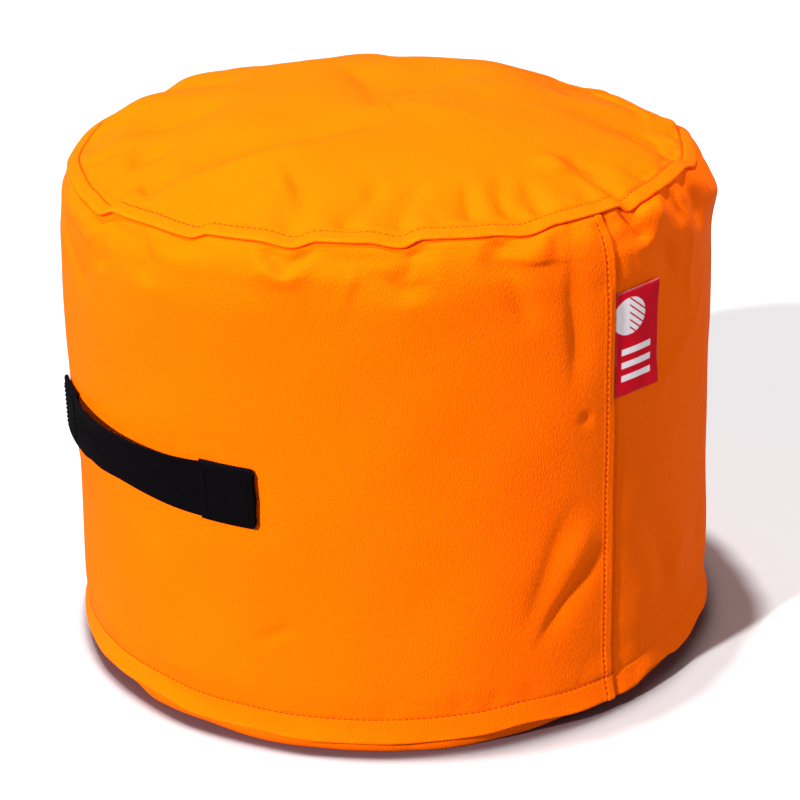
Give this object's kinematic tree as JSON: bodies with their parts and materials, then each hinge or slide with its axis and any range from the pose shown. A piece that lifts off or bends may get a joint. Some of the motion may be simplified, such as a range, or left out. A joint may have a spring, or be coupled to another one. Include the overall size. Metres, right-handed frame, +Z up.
{
  "type": "bean bag pouf",
  "caption": "Round upright bean bag pouf in leather cloth with a domed top, webbing carry handle, blank flag label and a zipped base over a filled inner bag.",
  "frame": {"origin": "middle of the base, on the floor", "axes": "+Z up through the middle of the top; the carry handle is centred near -Y; the side seams stand at +X and -X, and the label hangs in the +X seam"},
  "size_m": [0.4926, 0.4995, 0.4088],
  "materials": {
    "cover_leather": "satin",
    "cover_thread": "satin",
    "handle_webbing": "matte",
    "handle_thread": "matte",
    "backing_cloth": "matte",
    "label_cloth": "satin",
    "zip_tape": "matte",
    "zip_nylon": "satin",
    "zip_metal": "satin",
    "liner_cloth": "matte",
    "filling_beads": "matte"
  },
  "bodies": {
    "cover": {"top_panel": "cover_leather", "side_panel_front": "cover_leather", "side_panel_rear": "cover_leather", "base_panel_front": "cover_leather", "base_panel_rear": "cover_leather", "top_topstitch": "cover_thread", "hem_topstitch": "cover_thread", "side_topstitch_left": "cover_thread", "side_topstitch_right": "cover_thread", "handle_end_left": "handle_webbing", "handle_end_right": "handle_webbing", "handle_stitch_left": "handle_thread", "handle_stitch_right": "handle_thread", "handle_backing_left": "backing_cloth", "handle_backing_right": "backing_cloth", "zip_tape_front": "zip_tape", "zip_tape_rear": "zip_tape", "zip_teeth_front": "zip_nylon", "zip_teeth_rear": "zip_nylon", "zip_stop_left": "zip_metal", "zip_stop_right": "zip_metal", "liner_top": "liner_cloth", "liner_wall": "liner_cloth", "liner_base": "liner_cloth", "liner_zip": "liner_cloth", "bead_filling": "filling_beads"},
    "handle": {"handle_grip": "handle_webbing"},
    "label": {"label_tag": "label_cloth"},
    "slider": {"zip_slider": "zip_metal"},
    "pull_tab": {"zip_pull": "zip_metal"}
  },
  "joints": [
    {"name": "handle_lift", "type": "slide", "parent": "cover", "child": "handle", "axis": [0.0297, -0.9996, 0], "range_m": [0, 0.012]},
    {"name": "label_flap", "type": "hinge", "parent": "cover", "child": "label", "pos_m": [0.24234, 0, 0.277], "axis": [0, 0, -1], "range_deg": [0, 150]},
    {"name": "zip_slide", "type": "slide", "parent": "cover", "child": "slider", "axis": [-1, 0, 0], "range_m": [0, 0.305]},
    {"name": "pull_tab_swing", "type": "hinge", "parent": "slider", "child": "pull_tab", "pos_m": [0.16154, 0.075, 0.00265], "axis": [0, -1, 0], "range_deg": [0, 170]}
  ]
}
